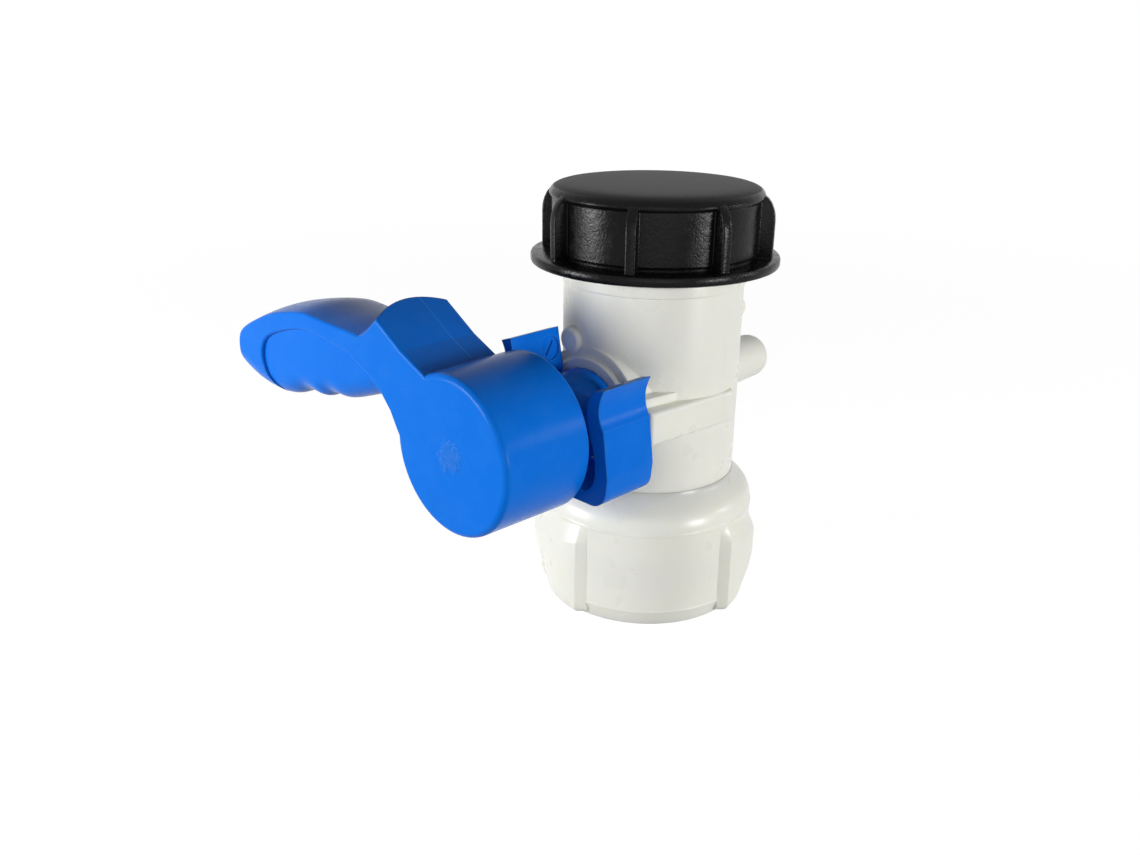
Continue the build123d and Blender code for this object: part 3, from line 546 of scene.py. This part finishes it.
class VALVE_OT_cap(bpy.types.Operator):
    """Turns the dust cap's shell and sets its ribs round it"""

    bl_idname = "valve.cap"
    bl_label = "Dust cap"

    def execute(self, context):
        sizes = context.scene.valve_sizes
        black = finish_of("dust_cap")
        rib = bpy.data.objects.new("rib", rib_mesh(sizes.rib_width, sizes.rib_round))
        values = {"Rib": rib, "Count": CAP_RIBS, "Turn": sizes.rib_turn, "Finish": black}
        cap = grown_mesh("cap_shell", rib_ring_tree(), values)
        bpy.data.objects.remove(rib)
        shell = turned_shell(CAP_SECTION, CAP_STEPS)
        shell.from_mesh(cap.data)
        for face in shell.faces:
            face.material_index = 0
        shell.to_mesh(cap.data)
        shell.free()
        cap.data.materials.clear()
        cap.data.materials.append(black)
        cap.data.shade_smooth()
        cap.data.set_sharp_from_angle(angle=SHARP_ANGLE)
        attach(cap, "cap")
        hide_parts("dust_cap")
        return {"FINISHED"}


class VALVE_OT_threads(bpy.types.Operator):
    """Winds the coarse threads on the outlet, in the nut and in the cap"""

    bl_idname = "valve.threads"
    bl_label = "Threads"

    def execute(self, context):
        sizes = context.scene.valve_sizes
        tree = thread_tree()
        common = {"Pitch": sizes.pitch, "Root": sizes.ridge_root, "Crest": sizes.ridge_crest}
        white, black = finish_of("valve_body"), finish_of("dust_cap")
        outlet = {"Radius": sizes.outlet_radius, "Start": OUTLET_START, "Turns": OUTLET_TURNS}
        outlet |= {"Height": sizes.ridge, "Outward": 1.0}
        nut = {"Radius": sizes.nut_radius, "Start": NUT_START, "Turns": NUT_TURNS}
        nut |= {"Height": sizes.nut_ridge, "Outward": -1.0}
        cap = {"Radius": sizes.cap_radius, "Start": CAP_START, "Turns": CAP_TURNS}
        cap |= {"Height": sizes.cap_ridge, "Outward": -1.0}
        for name, body, slot, finish, values in (
            ("outlet_thread", "body", "natural_plastic", white, outlet),
            ("nut_thread", "nut", "natural_plastic", white, nut),
            ("cap_thread", "cap", "black_plastic", black, cap),
        ):
            piece = grown_mesh(name, tree, {**common, **values, "Finish": finish})
            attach(piece, body)
        return {"FINISHED"}


def softbox(name, sizes, direction, side, power):
    """Square area lamp that looks at the target and that no camera sees."""
    lamp = bpy.data.lights.new(name, "AREA")
    lamp.shape = "SQUARE"
    lamp.size = side
    lamp.energy = power
    obj = bpy.data.objects.new(name, lamp)
    bpy.context.scene.collection.objects.link(obj)
    away = Vector(direction).normalized()
    obj.location = Vector(sizes.target) + away * sizes.lamp_distance
    obj.rotation_mode = "QUATERNION"
    obj.rotation_quaternion = (-away).to_track_quat("-Z", "Y")
    obj.visible_camera = False


def seen_directly(nodes):
    """1 for rays from the camera, from gloss or through something clear, 0 for rays that light things."""
    path = nodes.add("ShaderNodeLightPath").outputs
    seen = nodes.math("MAXIMUM", path["Is Camera Ray"], path["Is Glossy Ray"])
    return nodes.math("MAXIMUM", seen, path["Is Transmission Ray"])


def white_world(ambient):
    """World that looks white and lights the object gently from all round."""
    world = bpy.data.worlds.new("studio")
    world.use_nodes = True
    world.node_tree.nodes.clear()
    nodes = Nodes(world.node_tree)
    dim = nodes.add("ShaderNodeBackground", Color=(1, 1, 1, 1), Strength=ambient)
    white = nodes.add("ShaderNodeBackground", Color=(1, 1, 1, 1), Strength=1.0)
    mix = nodes.add("ShaderNodeMixShader", Fac=seen_directly(nodes), _1=dim.outputs[0], _2=white.outputs[0])
    nodes.add("ShaderNodeOutputWorld", Surface=mix.outputs[0])
    return world


def white_floor(side, grey, glow):
    """Wide floor that looks white and still takes the object's shadow."""
    material = bpy.data.materials.new("studio_floor")
    material.use_nodes = True
    material.node_tree.nodes.clear()
    nodes = Nodes(material.node_tree)
    matt = nodes.add("ShaderNodeBsdfDiffuse", Color=(grey, grey, grey, 1))
    where = nodes.add("ShaderNodeTexCoord").outputs["Object"]
    away = nodes.add("ShaderNodeVectorMath", {"operation": "LENGTH"}, Vector=where).outputs["Value"]
    near, far = FLOOR_FADE
    fade = nodes.spread(away, low=near, high=far, out_low=glow, out_high=1.0)
    light = nodes.add("ShaderNodeEmission", Strength=nodes.math("MULTIPLY", seen_directly(nodes), fade))
    both = nodes.add("ShaderNodeAddShader", _0=matt.outputs[0], _1=light.outputs[0])
    nodes.add("ShaderNodeOutputMaterial", Surface=both.outputs[0])
    half = side / 2
    mesh = bpy.data.meshes.new("floor")
    corners = [(-half, -half, 0), (half, -half, 0), (half, half, 0), (-half, half, 0)]
    mesh.from_pydata(corners, [], [(0, 1, 2, 3)])
    mesh.materials.append(material)
    floor = bpy.data.objects.new("floor", mesh)
    bpy.context.scene.collection.objects.link(floor)


class VALVE_OT_studio(bpy.types.Operator):
    """Sets up floor, world, lamps and camera"""

    bl_idname = "valve.studio"
    bl_label = "Studio"

    def execute(self, context):
        scene = context.scene
        sizes = scene.valve_studio
        scene.view_settings.view_transform = "Standard"
        scene.world = white_world(sizes.ambient)
        white_floor(sizes.floor_side, sizes.floor_grey, sizes.floor_glow)
        softbox("left_softbox", sizes, sizes.left_direction, sizes.left_side, sizes.left_power)
        softbox("right_softbox", sizes, sizes.right_direction, sizes.right_side, sizes.right_power)
        softbox("rim_softbox", sizes, sizes.rim_direction, sizes.rim_side, sizes.rim_power)
        softbox("front_softbox", sizes, sizes.fill_direction, sizes.fill_side, sizes.fill_power)
        camera = bpy.data.cameras.new("camera")
        camera.sensor_fit = "HORIZONTAL"
        camera.lens = camera.sensor_width * sizes.lens_pixels / IMAGE_WIDTH
        camera.clip_start = CLIP_START
        obj = bpy.data.objects.new("camera", camera)
        scene.collection.objects.link(obj)
        right, up = Vector(sizes.camera_right), Vector(sizes.camera_up)
        turn = Matrix((right, up, right.cross(up))).transposed().to_4x4()
        obj.matrix_world = Matrix.Translation(sizes.camera_place) @ turn
        scene.camera = obj
        return {"FINISHED"}


class VALVE_PT_panel(bpy.types.Panel):
    """Lists the steps in the sidebar"""

    bl_idname = "VALVE_PT_panel"
    bl_label = "Valve"
    bl_space_type = "VIEW_3D"
    bl_region_type = "UI"
    bl_category = "Valve"

    def draw(self, context):
        for step in STEPS:
            self.layout.operator(step.bl_idname)


STEPS = (VALVE_OT_plastics, VALVE_OT_cap, VALVE_OT_threads, VALVE_OT_studio)
SETTINGS = {"valve_colours": ValveColours, "valve_sizes": ValveSizes, "valve_studio": StudioSizes}
CLASSES = (*SETTINGS.values(), *STEPS, VALVE_PT_panel)


def register():
    """Registers the classes and hangs the settings on the scene."""
    for cls in CLASSES:
        bpy.utils.register_class(cls)
    for name, group in SETTINGS.items():
        setattr(bpy.types.Scene, name, bpy.props.PointerProperty(type=group))


def unregister():
    """Takes everything off again."""
    for name in SETTINGS:
        delattr(bpy.types.Scene, name)
    for cls in reversed(CLASSES):
        bpy.utils.unregister_class(cls)


def main():
    """Dresses the valve."""
    register()
    bpy.ops.valve.plastics()
    bpy.ops.valve.cap()
    bpy.ops.valve.threads()
    bpy.ops.valve.studio()
    bpy.context.view_layer.update()


if __name__ == "__main__":
    main()
